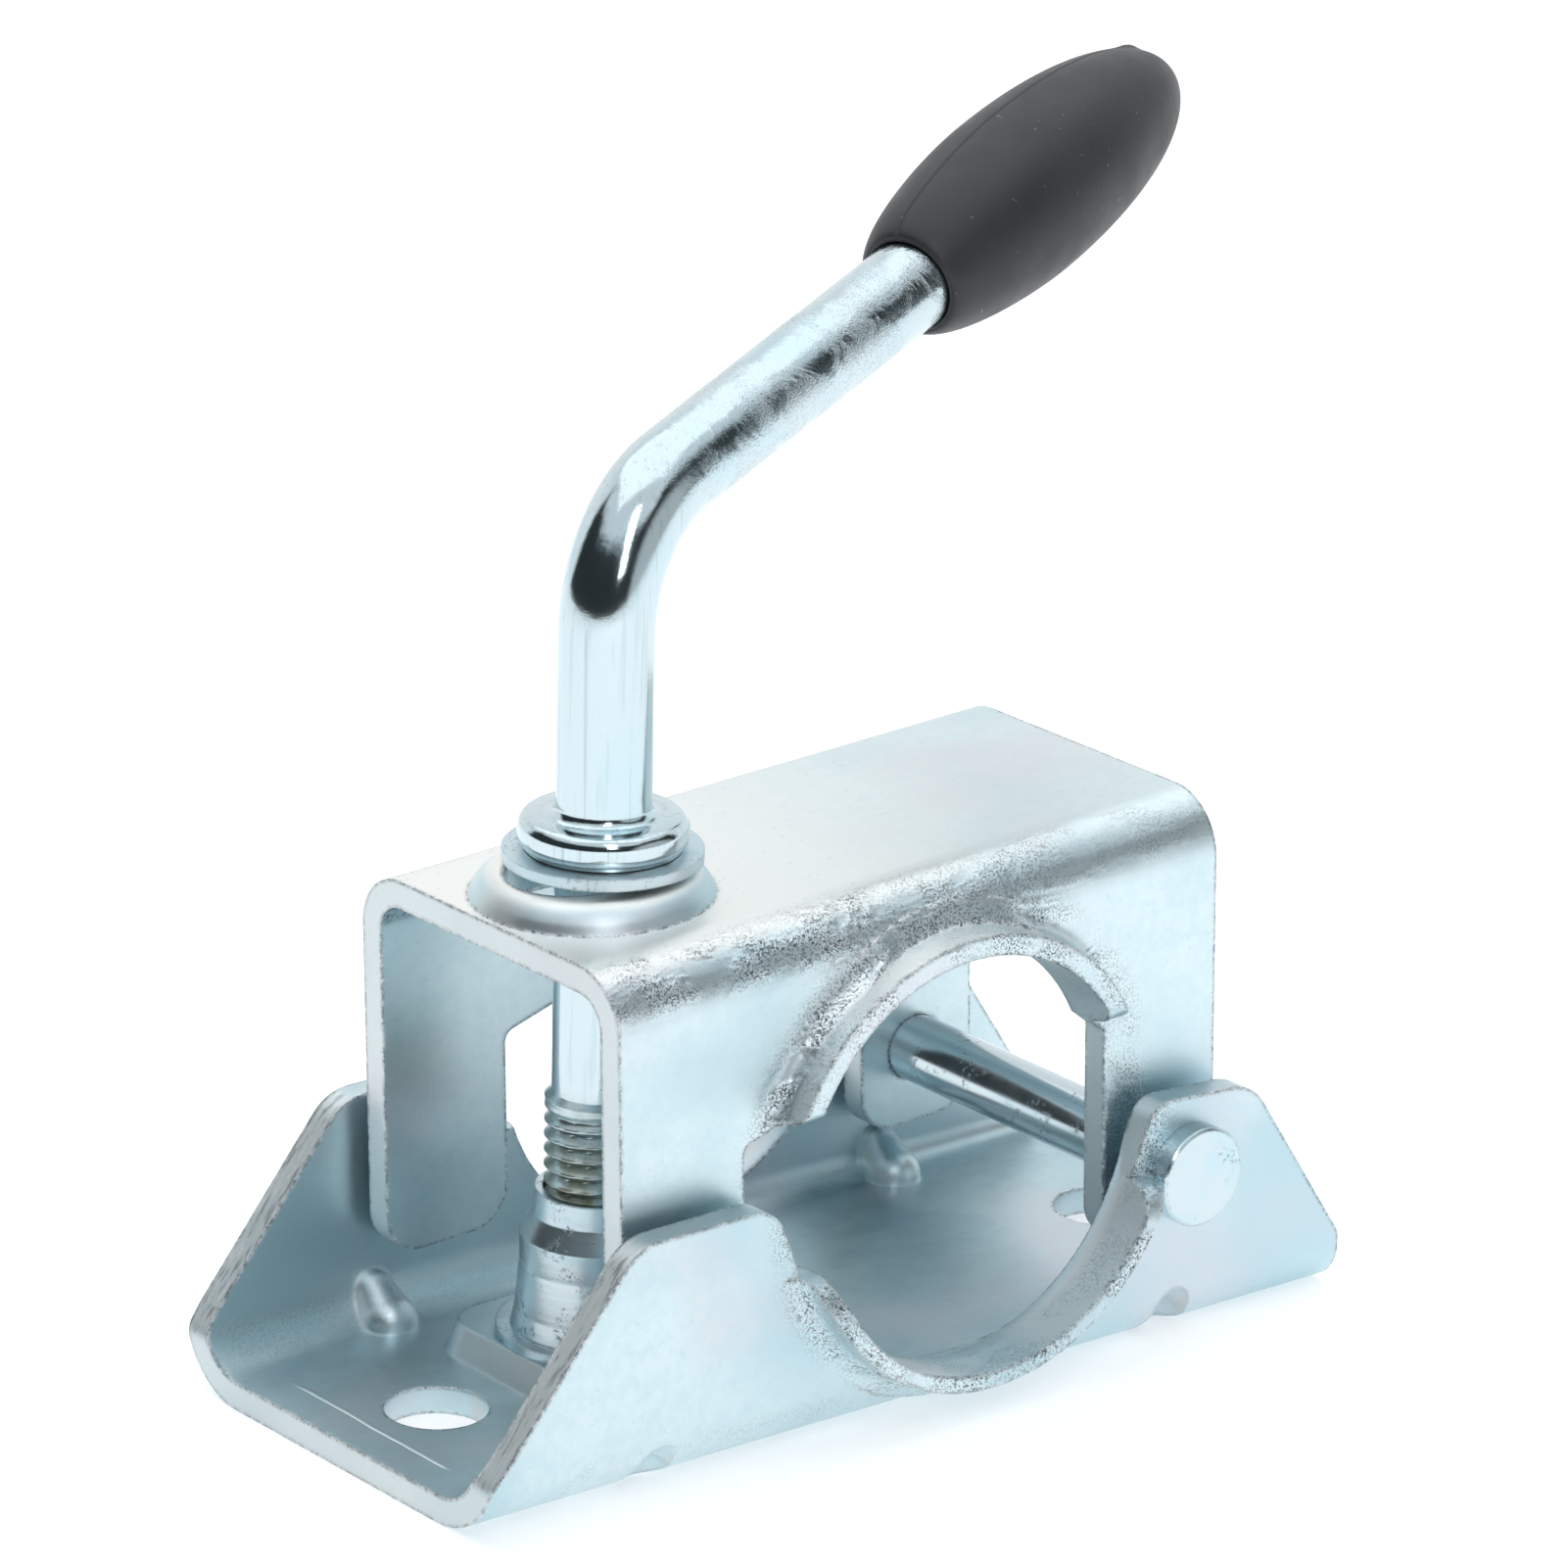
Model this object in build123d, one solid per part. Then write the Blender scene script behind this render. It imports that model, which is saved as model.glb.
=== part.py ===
from build123d import *
import math
import os

# Hinged split clamp for the tube of a prop stand or jockey wheel, in millimetres.
# X runs along the channels towards the hinge, Y along the clamped tube, Z up.
# Every piece is drawn about the tube's axis and then stood on the underside of the base,
# so the origin of the finished part lies on that face, below the middle of the tube.

# Clearances and allowances
RUNNING_CLEARANCE = 0.06
SIDE_GAP = 2.0           # between the clamp channel and each wall of the base
SCREW_GAP = 0.57         # between the tube and the screw
FLOOR_GAP = 2.1          # between the tube and the floor of the base
FLANGE_GAP = 0.1
REACH = 220.0            # longer than any piece, for cutters
OVER = 1.0               # how far a cutter runs past a face

# Tube and sheet
TUBE_R = 24.0            # tube held by the lower collars
SHEET = 3.2              # thickness of both pressed channels
JAW_R = TUBE_R - 0.8     # bore of the upper collars, smaller so that they grip
COLLAR_DEPTH = 4.6       # how far a collar stands out from its wall
RIM_ROUND = 0.3
FADE_ANGLE = 30.0        # lie of the plane along which the root fillets fade into the bends

# Hinge pin
PIN_X = TUBE_R + 7.2
PIN_Z = -9.6
PIN_R = 3.9
PIN_HEAD_R = 5.75
PIN_HEAD_H = 2.6
PIN_BEVEL = 0.3

# Screw
THREAD_R = 5.93
ROD_R = 5.2
SCREW_X = -(TUBE_R + THREAD_R + SCREW_GAP)
THREAD_LENGTH = 29.0
THREAD_LEAD = 1.2        # bevel at the end of the thread
SHOULDER = 0.9           # cone between the thread and the rod

# Base channel
BASE_W = 55.2            # over the walls
BASE_FRONT = SCREW_X - 35.2
BASE_REAR = PIN_X + 23.6
AXIS_HEIGHT = TUBE_R + FLOOR_GAP + SHEET
FRONT_BEND = 9.5         # outside radius of the bends at the front end
REAR_BEND = 5.0          # and at the rear end
EAR_TOP = 0.5
REAR_EAR_TOP = -0.4
EAR_FOOT = 6.6           # height of the end edges above the underside
FRONT_SLOPE = 19.0       # length of the slope in front of the front ears
REAR_SLOPE = 14.3        # length of the slope behind the rear ears
FRONT_EAR_STEP = 4.2     # from the tube's side to the rear edge of the front ears
REAR_EAR_STEP = 2.0      # from the tube's side to the front edge of the rear ears
EAR_ROUND = 4.4
REAR_EAR_ROUND = 3.2
SLOPE_ROUND = 6.0
FOOT_ROUND = 2.8
ARCH_END = -8.4          # height at which the arched walls meet the ears
LIP_WALL = 2.0           # thickness of the lower collars, thinned by drawing
LIP_ROOT = 2.4           # fillet between a lower collar and its wall
LIP_FRONT_RUN = 7.0      # length over which a lower collar rises at the front
LIP_REAR_RUN = 4.0
SADDLE_MOUTH = 2.8       # length of the flare inside a lower collar
SADDLE_FLARE = 0.6       # widening of that flare
BOLT_HOLE_R = 5.7
FRONT_BOLT_X = SCREW_X - 21.7
REAR_BOLT_X = PIN_X + 12.6

# Stiffening dimples across the bends
FRONT_DIMPLE_X = SCREW_X - 12.3
REAR_DIMPLE_X = PIN_X - 1.2
DIMPLE_R = 3.4
DIMPLE_TIP_R = 2.5
DIMPLE_LENGTH = 4.0
DIMPLE_SET = 1.7         # inner form's axis off the inside faces
DENT_SET = 1.9           # outer dent's axis off the outside faces

# Raised seat of the nut
SEAT_RISE = 3.55
SEAT_LENGTH = 25.0
SEAT_WIDTH = 30.0
SEAT_CORNER = 6.0
SEAT_DRAFT = 1.6
SEAT_WALL = 2.0          # seat's sides are thinner than the floor

# Nut
NUT_R = 8.45
NUT_TOP = -5.4
NUT_NECK = 1.6           # how much slimmer the top is
NUT_RING_R = 10.95
NUT_RING_T = 1.1
SPIGOT_R = 7.45

# Clamp channel, drawn shut on the tube
CLAMP_W = BASE_W - 2 * SHEET - 2 * SIDE_GAP
CLAMP_FRONT = SCREW_X - 14.1
CLAMP_REAR = PIN_X + 8.3
CLAMP_TOP = JAW_R + 7.8
CLAMP_BEND = 6.8
FRONT_LEG_END = -14.6
REAR_LEG_END = PIN_Z - 9.2
FRONT_LEG_STEP = 4.8     # from the jaw's side to the front legs
JAW_END = 9.6            # height at which the upper collars end
LEDGE_Z = 7.8            # height at which the legs meet the arch
JAW_WALL = 2.5           # thickness of the upper collars
JAW_ROOT = 2.6
JAW_FRONT_RUN = 2.0
JAW_REAR_RUN = 3.4
LEG_ROUND = 4.8
BOSS_R = 13.4            # foot of the raised boss round the slot
BOSS_RISE = 3.0
BOSS_FLAT_R = 9.5
BOSS_SIDE = 1.1          # height of the boss's steep side
SLOT_W = 14.2
SLOT_LENGTH = 19.8
SLOT_X = SCREW_X - 0.2
REST_TILT = -2.0         # squeezed past the parallel position, front end low

# Washer and flange
WASHER_R = 10.9
WASHER_Z = CLAMP_TOP + 1.4
WASHER_T = 1.3
FLANGE_R = 9.3
FLANGE_T = 3.65
FLANGE_TOP_ROUND = 0.9
FLANGE_FOOT_ROUND = 0.7
FLANGE_NECK = 1.1        # fillet between the flange and the rod

# Bent arm and grip
BEND_START = WASHER_Z + 25.1
BEND_R = 15.33
BEND_ANGLE = 77.84
ARM_AZIMUTH = 17.69      # swung from X towards Y
ARM_LENGTH = 48.0        # from the bend to the mouth of the grip
ARM_IN_GRIP = 36.0
GRIP_R = 10.02
GRIP_MOUTH_R = 5.75
GRIP_SHOULDER = 22.4     # from the mouth to the thickest place
GRIP_NOSE = 33.1
GRIP_RISE = 1.4          # nose sits a little high on the arm
MOUTH_POWER = 1.66       # fullness of the grip towards its mouth
NOSE_POWER = 2.165       # and towards its nose
GRIP_STATIONS = 16

HALF_BASE = BASE_W / 2
HALF_CLAMP = CLAMP_W / 2
FLOOR_Z = -AXIS_HEIGHT
FLOOR_TOP = FLOOR_Z + SHEET
SEAT_TOP = FLOOR_TOP + SEAT_RISE
SCREW_END = NUT_TOP + THREAD_LENGTH * 0.36 - THREAD_LENGTH


def across(radius, x, z, length):
    """Cylinder along Y, centred on the middle plane."""
    return Pos(x, 0, z) * Rot(90, 0, 0) * Cylinder(radius, length)


def upright(radius, x, z, length):
    """Cylinder along Z, centred on the given height."""
    return Pos(x, 0, z) * Cylinder(radius, length)


def side_prism(points, radii):
    """Outline in X and Z with rounded corners, pushed through the full width."""
    face = make_face(Polyline(*points, close=True))
    for (x, z), r in zip(points, radii):
        if r:
            corner = face.vertices().sort_by_distance(Vector(x, z, 0))[0]
            face = fillet(corner, r)
    return extrude(face, REACH / 2, both=True).rotate(Axis.X, 90)


def bend_waste(half, z_back, up, stations):
    """What lies outside one bend, its radius running evenly from end to end."""
    ends = []
    for x, r in stations:
        near = z_back + up * r
        nook = r * (1 - math.sqrt(0.5))
        arc = ThreePointArc((half, near), (half - nook, z_back + up * nook), (half - r, z_back))
        rest = Polyline((half - r, z_back), (half - r, z_back - up * OVER),
                        (half + OVER, z_back - up * OVER), (half + OVER, near), (half, near))
        ends.append(Plane.YZ.offset(x) * make_face(arc + rest))
    return loft(ends, ruled=True)


def bent_bar(width, z_back, z_legs, stations):
    """Block with two rounded edges along its back."""
    x0, x1 = stations[0][0], stations[-1][0]
    up = 1 if z_legs > z_back else -1
    bar = Pos((x0 + x1) / 2, 0, (z_back + z_legs) / 2) * Box(
        x1 - x0, width, abs(z_legs - z_back))
    waste = bend_waste(width / 2, z_back, up, stations)
    return bar - waste - waste.mirror(Plane.XZ)


def channel(width, z_back, z_legs, stations):
    """Bent sheet of U section; the back lies at z_back and the legs reach z_legs."""
    up = 1 if z_legs > z_back else -1
    inside = [(x, r - SHEET) for x, r in stations]
    void = bent_bar(width - 2 * SHEET, z_back + up * SHEET, z_legs + up * OVER, inside)
    return bent_bar(width, z_back, z_legs, stations) - void


def runout(half_width, z_cut, run):
    """Region below z_cut whose outer corners fall away over the given run."""
    rim = half_width + COLLAR_DEPTH
    curve = EllipticalCenterArc(
        (half_width, z_cut - run), COLLAR_DEPTH, run, start_angle=0, arc_size=90)
    rest = Polyline((half_width, z_cut), (0, z_cut), (0, -REACH), (rim, -REACH),
                    (rim, z_cut - run))
    half = make_face(curve + rest)
    return Plane.YZ * (half + half.mirror(Plane.YZ))


def collar(bore, wall, half_width, root, z_cut, back, runs):
    """Lips turned outwards from both walls below z_cut, their root fillets fading at the bends."""
    rim = half_width + COLLAR_DEPTH
    section = Pos(bore + wall / 2, rim / 2) * Rectangle(wall, rim)
    section = fillet(section.vertices().group_by(Axis.Y)[-1], RIM_ROUND)
    section -= Rectangle(REACH, 2 * (half_width - SHEET))
    lips = revolve(section, Axis.Y, 360)
    lips += root_ring(bore + wall, half_width, root) & fade_block(half_width, root, back)
    lips += lips.mirror(Plane.XZ)
    front = extrude(runout(half_width, z_cut, runs[0]), -REACH / 2)
    rear = extrude(runout(half_width, z_cut, runs[1]), REACH / 2)
    return (lips & front) + (lips & rear)


def root_ring(outer, half_width, root):
    """Ring with a hollow fillet between a collar's outside and its wall."""
    nook = root * (1 - math.sqrt(0.5))
    inner = outer - root / 4
    low = half_width - SHEET + RUNNING_CLEARANCE
    arc = ThreePointArc(
        (outer, half_width + root), (outer + nook, half_width + nook), (outer + root, half_width))
    rest = Polyline((outer + root, half_width), (outer + root, low), (inner, low),
                    (inner, half_width + root), (outer, half_width + root))
    return revolve(make_face(arc + rest), Axis.Y, 360)


def fade_block(half_width, root, back):
    """Region in which a root fillet is kept, cut off by a plane laid along the bend."""
    height, radius = back
    a = math.radians(FADE_ANGLE)
    far = half_width + root + OVER
    y_bend = half_width - radius
    z_bend = height - radius
    lie = radius + RIM_ROUND / 2
    z_far = z_bend + (lie - (far - y_bend) * math.cos(a)) / math.sin(a)
    y_top = y_bend + (lie - (height + OVER - z_bend) * math.sin(a)) / math.cos(a)
    face = make_face(Polyline((0, 0), (far, 0), (far, -z_far), (y_top, -height - OVER),
                              (0, -height - OVER), close=True))
    return extrude(Plane.YZ * face, REACH / 2, both=True)


def flared_mouth():
    """Cutter that eases the inner mouths of both lower collars."""
    inside = HALF_BASE - SHEET
    wide = TUBE_R + SADDLE_FLARE
    arc_r = (SADDLE_MOUTH ** 2 + SADDLE_FLARE ** 2) / (2 * SADDLE_FLARE)
    half = SADDLE_MOUTH / 2
    middle = TUBE_R + arc_r - math.sqrt(arc_r ** 2 - half ** 2)
    arc = ThreePointArc((wide, inside), (middle, inside + half), (TUBE_R, inside + SADDLE_MOUTH))
    rest = Polyline((TUBE_R, inside + SADDLE_MOUTH), (0, inside + SADDLE_MOUTH), (0, 0),
                    (wide, 0), (wide, inside))
    horn = revolve(make_face(arc + rest), Axis.Y, 360)
    return horn + horn.mirror(Plane.XZ)


def frustum(length, width, corner, z0, z1):
    """Rounded block under the screw that narrows towards z1."""
    foot = Pos(SCREW_X, 0, z0) * RectangleRounded(length, width, corner)
    head = Pos(SCREW_X, 0, z1) * RectangleRounded(
        length - 2 * SEAT_DRAFT, width - 2 * SEAT_DRAFT, corner - SEAT_DRAFT)
    return loft([foot.face(), head.face()])


def dimple(x, side, inset):
    """Round-ended peg set at 45 degrees across a bend, its axis off the outside faces."""
    peg = Cone(DIMPLE_R, DIMPLE_TIP_R, DIMPLE_LENGTH)
    peg += Pos(0, 0, -DIMPLE_LENGTH / 2) * Sphere(DIMPLE_R)
    peg += Pos(0, 0, DIMPLE_LENGTH / 2) * Sphere(DIMPLE_TIP_R)
    return Pos(x, side * (HALF_BASE - inset), FLOOR_Z + inset) * Rot(-45 * side, 0, 0) * peg


def base_outline():
    """Side view of the base channel and its corner radii."""
    arch_x = math.sqrt(TUBE_R ** 2 - ARCH_END ** 2)
    foot = FLOOR_Z + EAR_FOOT
    corners = [
        (BASE_FRONT, FLOOR_Z - OVER, 0),
        (BASE_FRONT, foot, FOOT_ROUND),
        (BASE_FRONT + FRONT_SLOPE, EAR_TOP, SLOPE_ROUND),
        (-TUBE_R - FRONT_EAR_STEP, EAR_TOP, EAR_ROUND),
        (-arch_x - 2 * SHEET / 3, ARCH_END, 0),
        (arch_x + OVER / 5, ARCH_END, 0),
        (TUBE_R + REAR_EAR_STEP, REAR_EAR_TOP, REAR_EAR_ROUND),
        (BASE_REAR - REAR_SLOPE, REAR_EAR_TOP - OVER, SLOPE_ROUND),
        (BASE_REAR, foot, FOOT_ROUND),
        (BASE_REAR, FLOOR_Z - OVER, 0),
    ]
    return [(x, z) for x, z, _ in corners], [r for _, _, r in corners]


def base_channel():
    """Lower channel with ears, collars, bolt holes, nut seat and dimples."""
    stations = [(BASE_FRONT, FRONT_BEND), (BASE_REAR, REAR_BEND)]
    body = channel(BASE_W, FLOOR_Z, EAR_TOP + OVER, stations)
    body &= side_prism(*base_outline())
    body -= across(TUBE_R, 0, 0, REACH)
    body += collar(TUBE_R, LIP_WALL, HALF_BASE, LIP_ROOT, ARCH_END,
                   (AXIS_HEIGHT, (FRONT_BEND + REAR_BEND) / 2), (LIP_FRONT_RUN, LIP_REAR_RUN))
    body -= flared_mouth()
    recess = across(PIN_HEAD_R + RUNNING_CLEARANCE, PIN_X, PIN_Z, REACH)
    body -= recess - across(PIN_HEAD_R + OVER, PIN_X, PIN_Z, BASE_W)
    for x in (FRONT_DIMPLE_X, REAR_DIMPLE_X):
        for side in (1, -1):
            body += dimple(x, side, SHEET + DIMPLE_SET)
            body -= dimple(x, side, DENT_SET)
    body += frustum(SEAT_LENGTH, SEAT_WIDTH, SEAT_CORNER, FLOOR_TOP - OVER, SEAT_TOP)
    body -= frustum(SEAT_LENGTH - 2 * SEAT_WALL, SEAT_WIDTH - 2 * SEAT_WALL,
                    SEAT_CORNER - SEAT_WALL / 2, FLOOR_Z - OVER / 2, SEAT_TOP - SHEET)
    for x in (FRONT_BOLT_X, REAR_BOLT_X):
        body -= upright(BOLT_HOLE_R, x, FLOOR_Z, 3 * SHEET)
    body -= upright(SPIGOT_R, SCREW_X, FLOOR_Z, 6 * SHEET)
    body -= across(PIN_R, PIN_X, PIN_Z, REACH)
    return body


def tilt(shape):
    """Swing about the hinge pin from the parallel position to the one at rest."""
    return shape.rotate(Axis((PIN_X, 0, PIN_Z), (0, 1, 0)), REST_TILT)


def clamp_outline():
    """Side view of the clamp channel and its corner radii."""
    crown = CLAMP_TOP + OVER
    bore_x = math.sqrt(JAW_R ** 2 - JAW_END ** 2)
    corners = [
        (CLAMP_FRONT, crown, 0),
        (CLAMP_FRONT, FRONT_LEG_END, LEG_ROUND),
        (-JAW_R - FRONT_LEG_STEP, FRONT_LEG_END, LEG_ROUND),
        (-JAW_R - FRONT_LEG_STEP, LEDGE_Z, 1.5 * OVER),
        (-bore_x, JAW_END, 0),
        (bore_x, JAW_END, 0),
        (JAW_R, LEDGE_Z, 0),
        (JAW_R, REAR_LEG_END, LEG_ROUND),
        (CLAMP_REAR, REAR_LEG_END, LEG_ROUND),
        (CLAMP_REAR, crown, 0),
    ]
    return [(x, z) for x, z, _ in corners], [r for _, _, r in corners]


def boss(rise):
    """Low dome round the screw's slot, flat in the middle."""
    side = rise - BOSS_RISE + BOSS_SIDE
    profile = Polyline((0, rise), (0, -SHEET / 2), (BOSS_R, -SHEET / 2), (BOSS_R, 0),
                       (BOSS_R - BOSS_SIDE / 2, side))
    crown = Spline((BOSS_R - BOSS_SIDE / 2, side), (BOSS_FLAT_R, rise), tangents=[(-1, 1.4), (-1, 0)])
    face = make_face(profile + crown + Line((BOSS_FLAT_R, rise), (0, rise)))
    return Pos(SCREW_X, 0, CLAMP_TOP) * revolve(Plane.XZ * face, Axis.Z, 360)


def clamp_channel():
    """Upper channel with arched legs, collars, slotted boss and hinge holes."""
    stations = [(CLAMP_FRONT, CLAMP_BEND), (CLAMP_REAR, CLAMP_BEND)]
    body = channel(CLAMP_W, CLAMP_TOP, REAR_LEG_END, stations)
    body &= side_prism(*clamp_outline())
    body -= across(JAW_R, 0, 0, REACH)
    lips = collar(JAW_R, JAW_WALL, HALF_CLAMP, JAW_ROOT, -JAW_END,
                  (CLAMP_TOP, CLAMP_BEND), (JAW_FRONT_RUN, JAW_REAR_RUN))
    body += lips.mirror(Plane.XY)
    body += boss(BOSS_RISE) & Pos(CLAMP_FRONT + REACH / 2, 0, 0) * Box(REACH, REACH, REACH)
    hollow = upright(BOSS_FLAT_R + OVER, SCREW_X, CLAMP_TOP - SHEET, 2 * (BOSS_RISE - OVER))
    body -= hollow
    slot = SlotOverall(SLOT_LENGTH, SLOT_W)
    body -= Pos(SLOT_X, 0, CLAMP_TOP) * extrude(slot, 2 * SHEET, both=True)
    body -= across(PIN_R + RUNNING_CLEARANCE, PIN_X, PIN_Z, REACH)
    return tilt(body)


def pivot_pin():
    """Rivet through both channels with a bevelled head at each end."""
    reach = HALF_BASE + PIN_HEAD_H
    pin = across(PIN_HEAD_R, PIN_X, PIN_Z, 2 * reach)
    pin = chamfer(pin.edges().filter_by(GeomType.CIRCLE), PIN_BEVEL)
    pin -= across(PIN_HEAD_R + OVER, PIN_X, PIN_Z, 2 * HALF_BASE)
    return pin + across(PIN_R, PIN_X, PIN_Z, 2 * HALF_BASE + PIN_HEAD_H)


def turned(points):
    """Solid of revolution about the screw's axis from radius and height pairs."""
    face = make_face(Polyline(*[(r, 0, z) for r, z in points], close=True))
    return Pos(SCREW_X, 0, 0) * revolve(face, Axis.Z, 360)


def clamp_nut():
    """Sleeve nut with a necked top, a flared foot, a seat ring and a spigot."""
    bore = THREAD_R + RUNNING_CLEARANCE
    sleeve = NUT_TOP - SEAT_TOP
    flare = (NUT_RING_R - NUT_R) / 3
    return turned([
        (bore, NUT_TOP), (NUT_R - NUT_NECK, NUT_TOP),
        (NUT_R - 0.8 * NUT_NECK, NUT_TOP - 0.16 * sleeve), (NUT_R, NUT_TOP - 0.3 * sleeve),
        (NUT_R, NUT_TOP - 0.5 * sleeve), (NUT_R + flare / 2, NUT_TOP - 0.8 * sleeve),
        (NUT_R + flare, SEAT_TOP + NUT_RING_T), (NUT_RING_R, SEAT_TOP + NUT_RING_T),
        (NUT_RING_R, SEAT_TOP), (SPIGOT_R, SEAT_TOP), (SPIGOT_R, SEAT_TOP - SHEET),
        (bore, SEAT_TOP - SHEET),
    ])


def thrust_washer():
    """Flat ring between the handle's flange and the boss of the channel."""
    middle = WASHER_Z + WASHER_T / 2
    return upright(WASHER_R, SCREW_X, middle, WASHER_T) - upright(
        ROD_R + RUNNING_CLEARANCE, SCREW_X, middle, WASHER_T)


def arm_frame():
    """Start and direction of the straight arm behind the bend."""
    b = math.radians(BEND_ANGLE)
    a = math.radians(ARM_AZIMUTH)
    out = Vector(math.cos(a), math.sin(a), 0)
    start = Vector(SCREW_X, 0, BEND_START)
    end = start + out * (BEND_R * (1 - math.cos(b))) + Vector(0, 0, BEND_R * math.sin(b))
    way = out * math.sin(b) + Vector(0, 0, math.cos(b))
    return start, end, way, out


def bent_rod():
    """Upright bar, bend and arm swept in one piece."""
    start, end, way, out = arm_frame()
    foot = Vector(SCREW_X, 0, WASHER_Z + WASHER_T + FLANGE_T / 2)
    b = math.radians(BEND_ANGLE / 2)
    middle = start + out * (BEND_R * (1 - math.cos(b))) + Vector(0, 0, BEND_R * math.sin(b))
    path = Line(foot, start) + ThreePointArc(start, middle, end)
    path += Line(end, end + way * (ARM_LENGTH + ARM_IN_GRIP))
    section = Plane(origin=foot, z_dir=(0, 0, 1)) * Circle(ROD_R)
    return sweep(section, path)


def flange():
    """Upset ring with rounded edges and a hollow fillet up to the rod."""
    z0 = WASHER_Z + WASHER_T + FLANGE_GAP
    disc = upright(FLANGE_R, SCREW_X, z0 + FLANGE_T / 2, FLANGE_T)
    rims = disc.edges().filter_by(GeomType.CIRCLE).sort_by(Axis.Z)
    disc = fillet(rims[-1], FLANGE_TOP_ROUND)
    rims = disc.edges().filter_by(GeomType.CIRCLE).sort_by(Axis.Z)
    disc = fillet(rims[0], FLANGE_FOOT_ROUND)
    top = z0 + FLANGE_T
    steps = [math.radians(a) for a in (0, 22.5, 45, 67.5, 90)]
    neck = [(ROD_R + FLANGE_NECK * (1 - math.sin(t)), top + FLANGE_NECK * (1 - math.cos(t)))
            for t in steps]
    return disc + turned([(0, top - OVER), (ROD_R + FLANGE_NECK, top - OVER)] + neck
                         + [(0, top + FLANGE_NECK)])


def screw_handle():
    """Screw, shank, upset flange and bent arm."""
    thread_top = SCREW_END + THREAD_LENGTH
    join = WASHER_Z + WASHER_T + FLANGE_T / 2 + OVER
    shank = turned([
        (0, SCREW_END), (THREAD_R - THREAD_LEAD, SCREW_END), (THREAD_R, SCREW_END + THREAD_LEAD),
        (THREAD_R, thread_top), (ROD_R, thread_top + SHOULDER), (ROD_R, join), (0, join),
    ])
    return shank + flange() + bent_rod()


def grip_radius(s):
    """Radius of the oval grip at a distance from its mouth."""
    if s < GRIP_SHOULDER:
        k = 1 - ((GRIP_SHOULDER - s) / GRIP_SHOULDER) ** MOUTH_POWER
        return GRIP_MOUTH_R + (GRIP_R - GRIP_MOUTH_R) * max(k, 0) ** (1 / MOUTH_POWER)
    k = 1 - ((s - GRIP_SHOULDER) / GRIP_NOSE) ** NOSE_POWER
    return GRIP_R * max(k, 0) ** (1 / NOSE_POWER)


def hand_grip():
    """Oval grip pushed on the end of the arm."""
    start, end, way, out = arm_frame()
    mouth = end + way * ARM_LENGTH
    length = GRIP_SHOULDER + GRIP_NOSE
    turns = [math.pi * i / GRIP_STATIONS for i in range(GRIP_STATIONS + 1)]
    steps = [length * (1 - math.cos(t)) / 2 for t in turns]
    rim = [(grip_radius(s), 0, s) for s in steps[:-1]] + [(0, 0, length)]
    half = Spline(*rim) + Polyline((0, 0, length), (0, 0, 0), rim[0])
    egg = revolve(make_face(half), Axis.Z, 360)
    sideways = way.cross(Vector(0, 0, 1))
    nose = way.rotate(Axis((0, 0, 0), sideways), GRIP_RISE)
    bore = Cylinder(ROD_R, ARM_IN_GRIP + OVER, align=(Align.CENTER, Align.CENTER, Align.MIN))
    return Plane(origin=mouth, z_dir=nose) * egg - Plane(
        origin=mouth - way * OVER, z_dir=way) * bore


PARTS = {
    "base_channel": base_channel,
    "clamp_channel": clamp_channel,
    "pivot_pin": pivot_pin,
    "clamp_nut": clamp_nut,
    "thrust_washer": thrust_washer,
    "screw_handle": screw_handle,
    "hand_grip": hand_grip,
}

os.makedirs("parts", exist_ok=True)
for name, make in PARTS.items():
    export_step(Pos(0, 0, AXIS_HEIGHT) * make(), "parts/" + name + ".step")
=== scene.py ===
import math
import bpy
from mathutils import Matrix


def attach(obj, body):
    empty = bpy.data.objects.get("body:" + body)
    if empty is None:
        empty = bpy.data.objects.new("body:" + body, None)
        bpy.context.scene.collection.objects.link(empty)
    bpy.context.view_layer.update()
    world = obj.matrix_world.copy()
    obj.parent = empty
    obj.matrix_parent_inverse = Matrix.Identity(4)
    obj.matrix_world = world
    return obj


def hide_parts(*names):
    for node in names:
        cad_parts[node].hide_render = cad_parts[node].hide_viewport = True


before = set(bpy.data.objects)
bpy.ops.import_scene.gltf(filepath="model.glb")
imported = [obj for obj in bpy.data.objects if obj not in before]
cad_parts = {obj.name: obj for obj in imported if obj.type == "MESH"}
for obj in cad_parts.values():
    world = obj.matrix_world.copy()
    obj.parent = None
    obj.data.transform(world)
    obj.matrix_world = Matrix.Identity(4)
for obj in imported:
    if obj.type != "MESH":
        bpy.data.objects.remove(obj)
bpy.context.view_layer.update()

from types import SimpleNamespace

import bpy
from bpy.props import FloatProperty, FloatVectorProperty, IntProperty, PointerProperty
from mathutils import Matrix, Quaternion, Vector, noise

bl_info = {
    "name": "Hinged Tube Clamp",
    "version": (1, 0, 0),
    "blender": (4, 5, 0),
    "location": "View3D > Sidebar > Tube Clamp",
    "description": "Dresses a hinged tube clamp in zinc plate, cuts its thread and lights it",
    "category": "Object",
}

MM = 0.001
IMAGE_WIDTH = 1601
SENSOR = 36.0
UP = Vector((0, 0, 1))
WHITE = (1.0, 1.0, 1.0)

# Places on the clamp
TUBE_HEIGHT = 29.3
PIN_CENTRE = (31.2 * MM, 19.7 * MM)
DIMPLE_PLACES = (-42.8 * MM, 30 * MM)

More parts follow.
